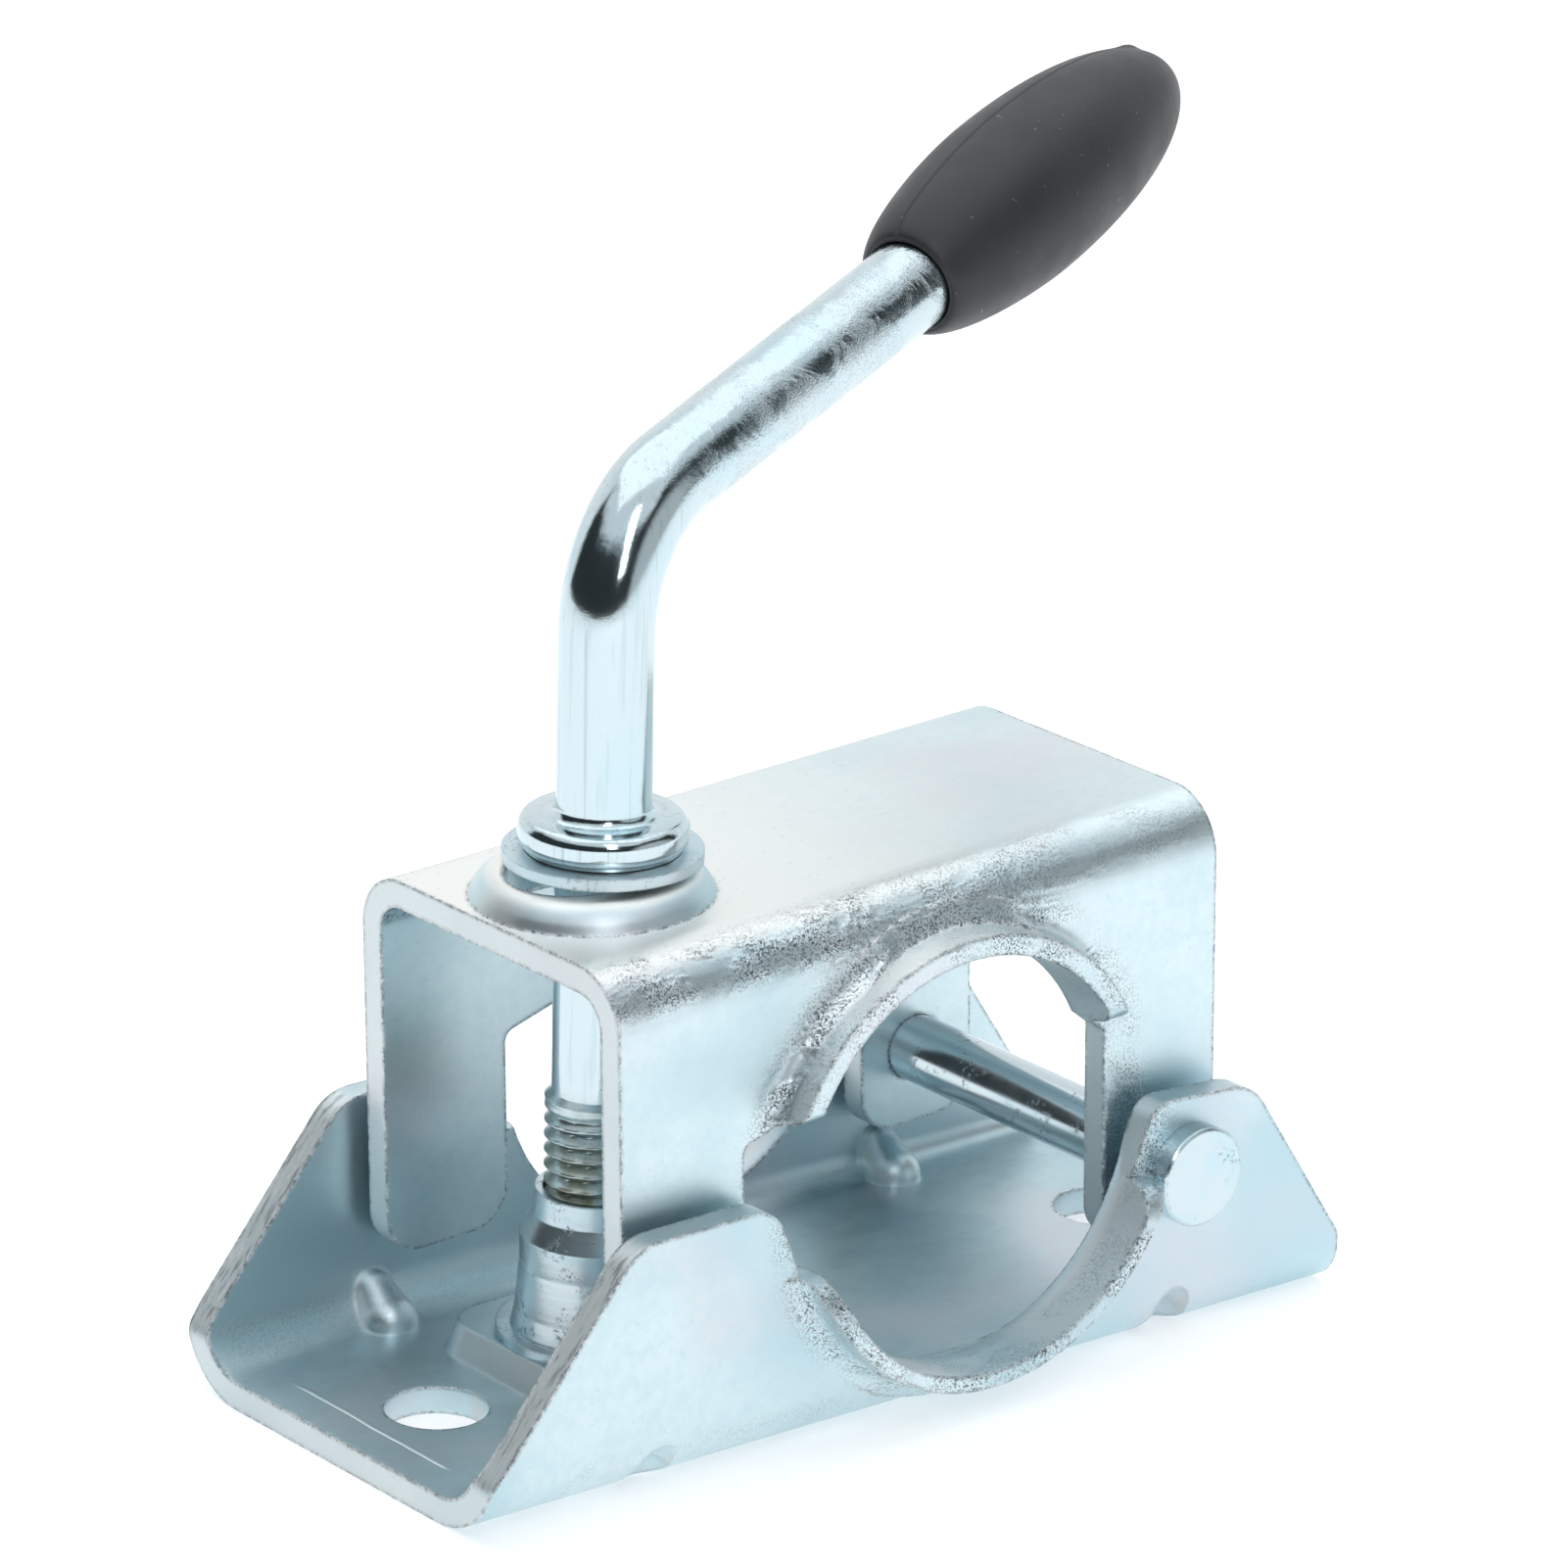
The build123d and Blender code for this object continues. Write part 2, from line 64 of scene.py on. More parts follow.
# Limits of the finishes, each from where it is weakest to where it is full
DIMPLE_SIDES = (4.3 * MM, 3.7 * MM)
DIMPLE_TOP = (11 * MM, 9.5 * MM)
COLLAR_RIM = (30.5 * MM, 26.5 * MM)
COLLAR_ROOT = (-1.5 * MM, 0.5 * MM)  # beyond the outside of the wall
WORKED_BENDS = (45 * MM, -22 * MM)
BOSS_SIDE = (13.8 * MM, 15.4 * MM)
# Painted highlight: the front of the upper channel's top is painted paler, fading out towards the
# back
PAINTED_HIGHLIGHT_TOP = (30 * MM, -30 * MM)
SLOPE_ENDS = (33 * MM, 36 * MM)
SLOPE_SIDES = (22.5 * MM, 23.5 * MM)
ARM_BEGINS = (3 * MM, 22 * MM)       # behind the screw's axis
OIL_ENDS = (2.5 * MM, -0.5 * MM)     # above the thread
OIL_THINS = (33 * MM, 23 * MM)

# Line that the die has left across the front of the floor
DIE_MARK_PLACE = 60.35 * MM         # ahead of the tube's axis
DIE_MARK_WANDER = 0.6 * MM
DIE_MARK_SIDES = (0.40 * MM, 0.12 * MM)
DIE_MARK_ENDS = (14.5 * MM, 12 * MM)

# Relief of the finishes, their rounded edges and the turning rings
SHEET_RELIEF = 0.22 * MM
TURNED_RELIEF = 0.12 * MM
ROD_RELIEF = 0.14 * MM
GRIP_RELIEF = 0.07 * MM
SHEET_ROUNDING = 0.8 * MM
TURNED_ROUNDING = 0.3 * MM
TURNING_PITCH = 0.62 * MM           # of the rings on the pin's heads
TURNING_DEPTH = 0.13

# Thread, shank and flange
THREAD_FLANK = 0.44                 # share of the pitch from the root to the crest
THREAD_FADE = 1.2                   # turns over which the thread runs out
THREAD_START = 0.3 * MM             # how far the screw's end lies inside the root
SHOULDER = (0.2 * MM, 0.9 * MM, 1.2 * MM)   # rings above the thread, narrowing to the rod
FLANGE_RIM = (                      # millimetres in from the rim and above the foot
    (0.70, 0.0), (0.66, 0.3), (0.25, 0.55), (0.08, 0.9), (0.0, 1.4),
    (0.0, 2.4), (0.08, 2.8), (0.3, 3.2), (0.6, 3.5))
FLANGE_TOP = 0.9 * MM               # from the rim to the flat of the flange's top
FLANGE_INNER = 1.6 * MM             # from the rod to the inner ring on that flat
NECK = 1.15 * MM                    # fillet between the flange and the rod
BEND_SQUEEZE = 0.035                # how much the bar goes oval in its bend
DENT_SIZE = 6 * MM                  # of the hand-bent bar's unevenness
DENT_DEPTH = 0.03 * MM
SHARP_ANGLE = math.radians(40)

# Rings of points along the bar
RINGS_PER_TURN = 14
SHANK_RINGS = 6
NECK_RINGS = 6
ROD_RINGS = 12
BEND_RINGS = 30
ARM_RINGS = 16

# Grip
MOUTH_POWER = 1.66                  # fullness of the grip towards its mouth
NOSE_POWER = 2.165                  # and towards its nose
GRIP_RINGS = 90
BORE_GAP = 0.02 * MM                # between the arm and the grip's bore
TIP_GAP = 0.01 * MM
TIP_RADIUS = 0.35 * MM              # of the flat that closes the tip
SEAM_STATIONS = (-3, -1.7, -0.8, 0, 0.8, 1.7, 3)    # degrees from the seam
SEAM_HALF_WIDTH = math.radians(1.6)
SEAM_FADE = 3 * MM                  # length over which the seam fades at the tip
NIB_PLACE = 4.2 * MM                # before the tip
NIB_LENGTH = 1.8 * MM
NIB_HEIGHT = 0.5 * MM
NIB_WIDTH = math.radians(6)
NIB_REACH = math.radians(9)
SAME_ANGLE = 1e-4                   # angles closer than this count as one

# Stage
FLOOR_REACH = 3.0
FLOOR_COLOUR = (0.88, 0.89, 0.90, 1)
FLOOR_GLOW = 0.44
SKY_LOW = (0.93, 0.95, 0.96)
SKY_HIGH = (0.73, 0.76, 0.79)
DARK_SIDE = (-0.60, -0.72)          # level directions in the surroundings
PALER_SIDE = (0.5, -0.866)
LAMP_AIM = (0, 0, 0.05)
LAMPS = (                           # name, place, size and power
    ("overhead", (0.2, 0.3, 1.2), (1.5, 1.5), 4.0),
    ("window", (-0.40, -0.78, 0.80), (0.20, 0.8), 2.2),
)


def length(name, value, text):
    """Size in millimetres as a property."""
    return FloatProperty(name=name, description=text, default=value * MM, unit="LENGTH")


def angle(name, value, text):
    """Angle in degrees as a property."""
    return FloatProperty(
        name=name, description=text, default=math.radians(value), subtype="ANGLE")


def colour(name, value, text):
    """Colour as a property."""
    return FloatVectorProperty(
        name=name, description=text, default=value, subtype="COLOR", min=0.0, max=1.0)


class ClampSizes(bpy.types.PropertyGroup):
    """Sizes of the clamp that the pieces and the finishes made here follow."""
    tube_height: length("Tube height", TUBE_HEIGHT, "Tube's axis above the underside of the base")
    base_width: length("Base width", 55.2, "Over the walls of the lower channel")
    clamp_width: length("Clamp width", 44.8, "Over the walls of the upper channel")
    screw_x: length("Screw position", -30.5, "Screw's axis along the channels")
    screw_end: length("Screw end", 5.34, "Lower end of the thread above the underside")
    thread_length: length("Thread length", 29.0, "Length of the thread")
    thread_crest: length("Thread crest", 5.9, "Outside radius of the thread")
    thread_root: length("Thread root", 4.95, "Radius at the bottom of the thread")
    thread_pitch: length("Thread pitch", 1.75, "Rise of one turn of the thread")
    rod_radius: length("Rod radius", 5.2, "Radius of the rod and the arm")
    flange_foot: length("Flange foot", 63.1, "Underside of the flange above the underside")
    flange_radius: length("Flange radius", 9.3, "Outside radius of the flange")
    flange_height: length("Flange height", 3.65, "Thickness of the flange")
    bend_start: length("Bend start", 86.8, "Height at which the rod begins to bend")
    bend_radius: length("Bend radius", 15.33, "Radius of the rod's bend")
    bend_angle: angle("Bend angle", 77.84, "How far the rod is bent from upright")
    arm_azimuth: angle("Arm azimuth", 17.69, "Arm's turn from the channels to the tube's axis")
    arm_length: length("Arm length", 48.0, "From the bend to the mouth of the grip")
    arm_in_grip: length("Arm in grip", 35.8, "How far the arm runs inside the grip")
    grip_radius: length("Grip radius", 10.02, "Greatest radius of the grip")
    grip_mouth: length("Grip mouth", 5.75, "Radius of the grip at its mouth")
    grip_shoulder: length("Grip shoulder", 22.4, "From the mouth to the thickest place")
    grip_nose: length("Grip nose", 33.1, "From the thickest place to the tip")
    grip_rise: angle("Grip rise", 1.4, "How far the nose sits above the arm's line")
    seam_angle: angle("Seam angle", -10, "Mould seam's turn from the top of the grip")
    seam_depth: length("Seam depth", 0.16, "Depth of the mould seam")
    segments: IntProperty(
        name="Segments", description="Faces round the rod and the grip", default=96, min=24)


class ClampColours(bpy.types.PropertyGroup):
    """Colours of the finishes, and of the shade, highlight and glints painted on the sheet."""
    zinc: colour("Zinc plate", (0.74, 0.87, 0.905), "Plated sheet in the light")
    zinc_cool: colour("Zinc, cool", (0.57, 0.75, 0.81), "Bluish patches of the plate")
    # Painted shade: laid over the lower channel's floor to darken that recess; the same colour
    # also tints real streaks on the rod
    zinc_deep_and_floor_shade: colour("Zinc, deep", (0.40, 0.56, 0.62), "Blue-grey inside of the lower channel")
    zinc_warm: colour("Zinc, warm", (0.76, 0.74, 0.79), "Faint pink and grey patches of the plate")
    # Painted highlight: the paler front of the upper channel's top
    zinc_painted_highlight: colour("Zinc, pale", (0.95, 0.96, 0.93), "Pale front of the upper channel's top")
    cut: colour("Cut edge", (0.82, 0.85, 0.84), "Dull plate on the cut edges")
    # Painted shade: a dark line along the cut edges; on the rod the same colour darkens real
    # scratches
    edge_shade_and_scratch: colour("Grime", (0.10, 0.10, 0.09), "Dark line along the cut edges")
    scale: colour("Pits", (0.03, 0.042, 0.046), "Dark pits and crackle")
    # Painted highlights: bright grains in the pitted zones, glints along edges and slopes, and the
    # die mark's bright line
    painted_glint: colour("Sparkle", (0.95, 0.98, 1.0), "Bright grains between the pits")
    rust: colour("Rust", (0.30, 0.17, 0.07), "Specks of rust")
    bright: colour("Bright zinc", (0.64, 0.745, 0.78), "Smooth turned or drawn steel")
    grip: colour("Grip", (0.030, 0.030, 0.032), "Moulded grip")
    grip_mottle: colour("Grip, mottled", (0.045, 0.045, 0.047), "Paler patches of the grip")
    dust: colour("Dust", (0.30, 0.30, 0.30), "Dust on the grip")
    residue: colour("Residue", (0.30, 0.30, 0.17), "Old oil on the thread")
    flag: colour("Dark surround", (0.03, 0.035, 0.038), "Dark part of the surroundings")


class ClampView(bpy.types.PropertyGroup):
    """Where the camera stands."""
    azimuth: angle("Azimuth", -39.921, "Camera's turn about the clamp")
    elevation: angle("Elevation", 19.409, "Camera's height above the horizon")
    roll: angle("Roll", 1.389, "Camera's turn about its own axis")
    distance: length("Distance", 863.617, "From the camera to the point that it looks at")
    focal_pixels: FloatProperty(
        name="Focal length", description="Focal length in pixels of the picture",
        default=8108.187)
    target: FloatVectorProperty(
        name="Target", description="Point that the camera looks at",
        default=(-5.494 * MM, 0.0, (35.552 + TUBE_HEIGHT) * MM), subtype="TRANSLATION",
        unit="LENGTH")


class Tree:
    """Short way to write a node tree."""

    def __init__(self, tree):
        self.tree = tree

    def node(self, kind, sockets=None, **props):
        """Node with its settings, and its sockets set or linked."""
        made = self.tree.nodes.new(kind)
        for key, value in props.items():
            setattr(made, key, value)
        for key, value in (sockets or {}).items():
            if isinstance(value, bpy.types.NodeSocket):
                self.tree.links.new(value, made.inputs[key])
            else:
                made.inputs[key].default_value = value
        return made

    def math(self, operation, a, b=0.0, c=0.0):
        return self.node("ShaderNodeMath", {0: a, 1: b, 2: c}, operation=operation).outputs[0]

    def abs(self, value):
        return self.math("ABSOLUTE", value)

    def times(self, first, *others):
        for value in others:
            first = self.math("MULTIPLY", first, value)
        return first

    def plus(self, first, *others):
        for value in others:
            first = self.math("ADD", first, value)
        return first

    def most(self, a, b):
        return self.math("MAXIMUM", a, b)

    def span(self, a, b):
        """Length of a vector with two parts."""
        return self.math("SQRT", self.plus(self.times(a, a), self.times(b, b)))

    def ramp(self, value, low, high, to_low=0.0, to_high=1.0):
        """Smooth step of a value between two limits."""
        return self.node("ShaderNodeMapRange", {
            "Value": value, "From Min": low, "From Max": high, "To Min": to_low,
            "To Max": to_high}, interpolation_type="SMOOTHSTEP").outputs["Result"]

    def noise(self, where, scale, detail=2.0, rough=0.5, warp=0.0):
        return self.node("ShaderNodeTexNoise", {
            "Vector": where, "Scale": scale, "Detail": detail, "Roughness": rough,
            "Distortion": warp}).outputs["Fac"]

    def mix(self, share, a, b):
        """Blend of two colours, by the node's colour sockets 6, 7 and 2."""
        made = self.tree.nodes.new("ShaderNodeMix")
        made.data_type = "RGBA"
        for key, value in ((0, share), (6, a), (7, b)):
            if isinstance(value, bpy.types.NodeSocket):
                self.tree.links.new(value, made.inputs[key])
            elif key:
                made.inputs[key].default_value = (*value, 1)
            else:
                made.inputs[key].default_value = value
        return made.outputs[2]

    def paint(self, under, *layers):
        """Colour with further colours laid over it in turn, each by its share."""
        for share, over in layers:
            under = self.mix(share, under, over)
        return under

    def parts(self, vector):
        made = self.node("ShaderNodeSeparateXYZ", {0: vector})
        return made.outputs[0], made.outputs[1], made.outputs[2]

    def stretch(self, vector, x, y, z):
        return self.node("ShaderNodeMapping", {
            "Vector": vector, "Scale": (x, y, z)}).outputs[0]

    def rounded(self, radius, samples):
        """Normal that runs round the edges."""
        return self.node("ShaderNodeBevel", {"Radius": radius}, samples=samples).outputs[0]

    def bump(self, height, distance, strength, normal=None):
        """Normal with relief."""
        sockets = {"Height": height, "Distance": distance, "Strength": strength}
        if normal is not None:
            sockets["Normal"] = normal
        return self.node("ShaderNodeBump", sockets).outputs[0]


def new_material(name):
    """Material, its tree and its shader."""
    mat = bpy.data.materials.new(name)
    mat.use_nodes = True
    return mat, Tree(mat.node_tree), mat.node_tree.nodes["Principled BSDF"]


def join(t, shader, **sockets):
    """Wire values to a shader by names with underscores."""
    for key, value in sockets.items():
        socket = shader.inputs[key.replace("_", " ")]
        if isinstance(value, bpy.types.NodeSocket):
            t.tree.links.new(value, socket)
        else:
            socket.default_value = value


def bend_mask(t, ny, nz):
    """Where the sheet turns from level to upright."""
    return t.times(t.ramp(t.abs(nz), 0.12, 0.45), t.ramp(t.abs(ny), 0.12, 0.45))


def lip_mask(t, x, side, z, tube_height, half_width):
    """Where the sheet is drawn out into the tube collars."""
    across = t.span(x, t.math("SUBTRACT", z, tube_height))
    root = [half_width + limit for limit in COLLAR_ROOT]
    return t.times(t.ramp(across, *COLLAR_RIM), t.ramp(side, *root))


def edge_mask(t, soft):
    """Where the rounded normal leaves the true one, along cut edges."""
    true = t.node("ShaderNodeNewGeometry").outputs["Normal"]
    dot = t.node("ShaderNodeVectorMath", {0: soft, 1: true},
                 operation="DOT_PRODUCT").outputs["Value"]
    return t.ramp(dot, 0.995, 0.90)


def dimple_mask(t, x, z):
    """Nought round the gusset dimples, whose outlines are soft, and one elsewhere."""
    near = [t.ramp(t.abs(t.math("SUBTRACT", x, place)), *DIMPLE_SIDES)
            for place in DIMPLE_PLACES]
    return t.math("SUBTRACT", 1.0, t.times(t.ramp(z, *DIMPLE_TOP), t.plus(*near)))


def die_mark(t, x, side, wander, floor):
    """Thin, slightly wavy line across the front of the floor."""
    place = t.math("MULTIPLY_ADD", wander, DIE_MARK_WANDER, DIE_MARK_PLACE)
    off = t.abs(t.plus(x, place))
    return t.times(t.ramp(off, *DIE_MARK_SIDES), floor, t.ramp(side, *DIE_MARK_ENDS))


def sheet_noises(t, point):
    """Textures of the plated sheet, from broad clouds to single grains."""
    along, across = t.stretch(point, 90, 150, 150), t.stretch(point, 260, 1700, 260)
    return SimpleNamespace(
        cloud=t.noise(point, 28, detail=2.0, rough=0.55),
        blush=t.noise(point, 42, detail=1.0),
        wander=t.noise(point, 160, detail=1.0),
        rust=t.noise(point, 330, detail=1.0),
        # Noise that breaks up the painted shade line along the cut edges
        edge_shade_and_scratch=t.noise(point, 350, detail=3.0, rough=0.7),
        fine=t.noise(point, 520, detail=3.0, rough=0.65),
        crackle=t.noise(point, 800, detail=3.0, rough=0.7),
        glints=t.noise(point, 850, detail=2.0, rough=0.8),
        chips=t.noise(point, 1150, detail=2.0, rough=0.8),
        stray=t.noise(point, 1500, detail=1.0, rough=0.6),
        grain=t.noise(point, 3300, detail=2.0, rough=0.75),
        sparkle=t.noise(point, 4700, detail=1.0, rough=0.7),
        rubbed=t.noise(along, 1.0, detail=3.0, rough=0.62, warp=0.5),
        torn=t.noise(across, 1.0, detail=2.0, rough=0.7),
    )


def sheet_zones(t, where, n, tube_height, half_width, worked):
    """Where pressing and shearing have marked the sheet, and where shade and a highlight are
    painted, each from nought to one.
    """
    x, y, z = t.parts(where["Object"])
    nx, ny, nz = t.parts(where["Normal"])
    side, level = t.abs(y), t.ramp(nz, 0.7, 0.95)
    bend = t.times(bend_mask(t, ny, nz), t.ramp(x, *WORKED_BENDS, 0.3, 1.0), worked,
                   t.ramp(side, *BOSS_SIDE))
    lip = t.times(lip_mask(t, x, side, z, tube_height, half_width),
                  t.ramp(t.abs(ny), 0.15, 0.8, 0.35, 1.0))
    soft = t.rounded(SHEET_ROUNDING, 4)
    edge = edge_mask(t, soft)
    if worked < 1:
        edge = t.times(edge, dimple_mask(t, x, z))
    sheared = t.times(t.ramp(t.abs(nx), 0.15, 0.4), t.ramp(t.abs(ny), 0.3, 0.1))
    slope = t.times(sheared, t.ramp(nz, 0.2, 0.4), t.ramp(n.rubbed, 0.35, 0.6, 0.15, 0.65),
                    t.ramp(t.abs(x), *SLOPE_ENDS), t.ramp(side, *SLOPE_SIDES))
    worn = t.times(t.most(bend, lip), t.ramp(n.rubbed, 0.38, 0.60, 0.12, 1.0))
    pitted = t.most(worn, t.times(edge, t.ramp(n.crackle, 0.38, 0.58)))
    # Level faces of the lower channel: its floor takes painted shade, and the die mark
    floor = t.times(level, 1.0 - worked)
    # Painted highlight over the front of the upper channel's top
    painted_highlight = t.times(level, t.ramp(x, *PAINTED_HIGHLIGHT_TOP, 0.25, 1.0), worked)
    mark = die_mark(t, x, side, n.wander, floor)
    return SimpleNamespace(soft=soft, bend=bend, edge=edge, sheared=sheared, slope=slope,
                           pitted=pitted, floor=floor, painted_highlight=painted_highlight, mark=mark)


def sheet_tint(t, n, zones, colours):
    """Cloudy colour of the plate where nothing has marked it, with painted shade on the lower
    channel's floor and a painted highlight on the front of the upper channel's top.
    """
    return t.paint(
        colours.zinc,
        (t.ramp(n.cloud, 0.38, 0.66), colours.zinc_cool),
        # Painted shade: a deeper colour over the lower channel's floor
        (t.times(zones.floor, t.ramp(n.rubbed, 0.3, 0.6, 0.6, 1.0)), colours.zinc_deep_and_floor_shade),
        (t.ramp(n.blush, 0.52, 0.72, 0.0, 0.6), colours.zinc_warm),
        (t.ramp(n.fine, 0.35, 0.7, 0.0, 0.35), colours.zinc_cool),
        # Painted highlight: paler front of the upper channel's top
        (zones.painted_highlight, colours.zinc_painted_highlight))


def sheet_marks(t, n, zones, pits, tint, colours):
    """Colour with the cut edges, a painted shade line along them, sparkle and glints painted as
    highlights, pits, chips, rust and the die mark painted as a bright line over it.
    """
    # Painted glints: bright grains in the pitted zones
    sparks = t.times(t.ramp(n.sparkle, 0.54, 0.62), zones.pitted)
    chips = t.most(t.times(zones.edge, t.ramp(n.chips, 0.50, 0.55)),
                   t.times(zones.slope, t.ramp(n.torn, 0.46, 0.38)))
    # Painted glints along the edges and the sloped sheared faces
    glints = t.most(t.times(zones.edge, t.ramp(n.glints, 0.50, 0.55)),
                    t.times(zones.slope, t.ramp(n.torn, 0.55, 0.62)))
    rust = t.times(t.ramp(n.rust, 0.76, 0.79, 0.0, 0.8), t.most(zones.bend, zones.edge))
    return t.paint(
        tint,
        (t.times(t.most(zones.edge, zones.sheared), 0.6), colours.cut),
        # Painted shade: dark line along the cut edges
        (t.times(zones.edge, t.ramp(n.edge_shade_and_scratch, 0.42, 0.60, 0.0, 0.45)), colours.edge_shade_and_scratch),
        (t.times(sparks, 0.85), colours.painted_glint),
        (t.times(pits, 0.85), colours.scale),
        (t.times(chips, 0.72), colours.scale),
        (t.times(glints, 0.9), colours.painted_glint),
        (t.ramp(n.stray, 0.69, 0.74, 0.0, 0.5), colours.zinc_cool),
        (rust, colours.rust),
        # Painted highlight: the die mark drawn as a bright line
        (t.times(zones.mark, 0.8), colours.painted_glint))


def zinc_sheet(name, colours, tube_height, half_width, worked):
    """Plated pressed sheet: cloudy faces, pitted bends and collars, dull crackled cut edges, with
    painted shade, painted highlights and painted glints.

    The upper channel is fully worked, which is 1. The lower one is less so, and has painted shade,
    a deeper colour, on its floor, and soft outlines round its dimples instead.
    """
    mat, t, shader = new_material(name)
    where = t.node("ShaderNodeTexCoord").outputs
    n = sheet_noises(t, where["Object"])
    zones = sheet_zones(t, where, n, tube_height, half_width, worked)
    pits = t.times(t.ramp(n.grain, 0.50, 0.58), zones.pitted)
    base = sheet_marks(t, n, zones, pits, sheet_tint(t, n, zones, colours), colours)
    height = t.plus(t.times(n.grain, zones.pitted), t.times(n.fine, 0.14),
                    t.times(n.rubbed, zones.pitted, 1.6), t.times(zones.mark, 1.2))
    rough = t.plus(t.ramp(n.cloud, 0.35, 0.7, 0.38, 0.46), t.times(zones.pitted, -0.14))
    metal = t.math("SUBTRACT", t.ramp(pits, 0.2, 0.8, 0.95, 0.7), t.times(zones.sheared, 0.3))
    join(t, shader, Base_Color=base, Metallic=metal, Roughness=rough,
         Normal=t.bump(height, SHEET_RELIEF, 0.6, zones.soft))
    return mat


def turning_rings(t, point, centre):
    """Wave that runs out from the pin's axis, as a turning tool leaves it."""
    x, _, z = t.parts(point)
    far = t.span(t.math("SUBTRACT", x, centre[0]), t.math("SUBTRACT", z, centre[1]))
    return t.math("SINE", t.times(far, math.tau / TURNING_PITCH))


def zinc_turned(name, colours, roughness, grain_scale, centre=None):
    """Turned or drawn steel under plate, with fine lines and a few dark specks."""
    mat, t, shader = new_material(name)
    point = t.node("ShaderNodeTexCoord").outputs["Object"]
    soft = t.rounded(TURNED_ROUNDING, 6)
    drawn = t.noise(t.stretch(point, *grain_scale), 1.0, detail=3.0, rough=0.6)
    cloud = t.noise(point, 90, detail=3.0, rough=0.6)
    grain = t.noise(point, 1700, detail=3.0, rough=0.7)
    patch = t.ramp(t.noise(point, 210, detail=3.0, rough=0.6, warp=0.5), 0.50, 0.66)
    pits = t.times(t.ramp(grain, 0.55, 0.62), t.most(patch, edge_mask(t, soft)))
    base = t.paint(
        colours.bright,
        (t.ramp(cloud, 0.38, 0.68), colours.zinc_cool),
        (t.ramp(drawn, 0.35, 0.75, 0.0, 0.35), colours.zinc_warm),
        (t.times(pits, 0.6), colours.scale))
    height = t.plus(t.times(drawn, 0.6), t.times(pits, -0.5))
    if centre:
        height = t.plus(height, t.times(turning_rings(t, point, centre), TURNING_DEPTH))
    join(t, shader, Base_Color=base, Metallic=0.97,
         Roughness=t.ramp(cloud, 0.3, 0.7, roughness, roughness + 0.1),
         Normal=t.bump(height, TURNED_RELIEF, 0.4, soft))
    return mat


def zinc_rod(name, colours, sizes):
    """Bright drawn rod with a speckled arm, fine upright streaks, and oil on its thread."""
    mat, t, shader = new_material(name)
    point = t.node("ShaderNodeTexCoord").outputs["Object"]
    x, _, z = t.parts(point)
    cloud = t.noise(point, 70, detail=2.0, rough=0.6)
    swirl = t.noise(point, 130, detail=3.0, rough=0.65, warp=0.8)
    film = t.noise(point, 260, detail=3.0, rough=0.6)
    grain = t.noise(point, 3600, detail=2.0, rough=0.75)
    streak = t.noise(t.stretch(point, 900, 900, 60), 1.0, detail=2.0, rough=0.6)
    scratch = t.noise(t.stretch(point, 1500, 1500, 22), 1.0, detail=1.0, rough=0.6)

    top = sizes.screw_end + sizes.thread_length
    thread = t.ramp(z, top + OIL_ENDS[0], top + OIL_ENDS[1])
    arm = t.ramp(x, sizes.screw_x + ARM_BEGINS[0], sizes.screw_x + ARM_BEGINS[1], 0.12, 1.0)
    upright = t.math("SUBTRACT", 1.0, arm)
    patch = t.ramp(swirl, 0.42, 0.60, 0.25, 1.0)
    pits = t.times(t.ramp(grain, 0.56, 0.63), patch, arm)
    oil = t.times(thread, t.ramp(film, 0.38, 0.62, 0.15, 0.8), t.ramp(z, *OIL_THINS, 0.45, 1.0))
    base = t.paint(
        colours.bright,
        (t.ramp(cloud, 0.42, 0.70, 0.0, 0.6), colours.zinc_cool),
        (t.times(t.ramp(streak, 0.54, 0.70), upright, 0.36), colours.zinc_deep_and_floor_shade),
        (t.times(t.ramp(scratch, 0.64, 0.70), upright, 0.20), colours.edge_shade_and_scratch),
        (t.times(pits, 0.35), colours.scale),
        (oil, colours.residue))
    height = t.times(t.plus(t.times(swirl, 2.0), t.times(grain, patch, 1.3)), arm)
    rough = t.plus(t.ramp(cloud, 0.35, 0.7, 0.09, 0.15), t.times(thread, 0.2))
    join(t, shader, Base_Color=base, Metallic=t.ramp(oil, 0.2, 0.9, 1.0, 0.6),
         Roughness=rough, Normal=t.bump(height, ROD_RELIEF, 0.5))
    return mat


def black_grip(name, colours):
    """Satin moulded plastic with faint mottling and dust."""
    mat, t, shader = new_material(name)
    point = t.node("ShaderNodeTexCoord").outputs["Object"]
    mottle = t.noise(point, 160, detail=4.0, rough=0.6)
    fine = t.noise(point, 2200, detail=2.0, rough=0.6)
    specks = t.noise(point, 1100, detail=1.0)
    base = t.paint(
        colours.grip,
        (t.ramp(mottle, 0.35, 0.7, 0.0, 0.35), colours.grip_mottle),
        (t.ramp(specks, 0.76, 0.79, 0.0, 0.5), colours.dust))
    join(t, shader, Base_Color=base, Roughness=t.ramp(mottle, 0.3, 0.7, 0.40, 0.52),
         Normal=t.bump(t.plus(fine, t.times(mottle, 0.8)), GRIP_RELIEF, 0.35))
    return mat


def dress(node, mat):
    """Give a solid of the frame its finish."""
    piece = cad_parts[node]
    piece.data.materials.clear()
    piece.data.materials.append(mat)


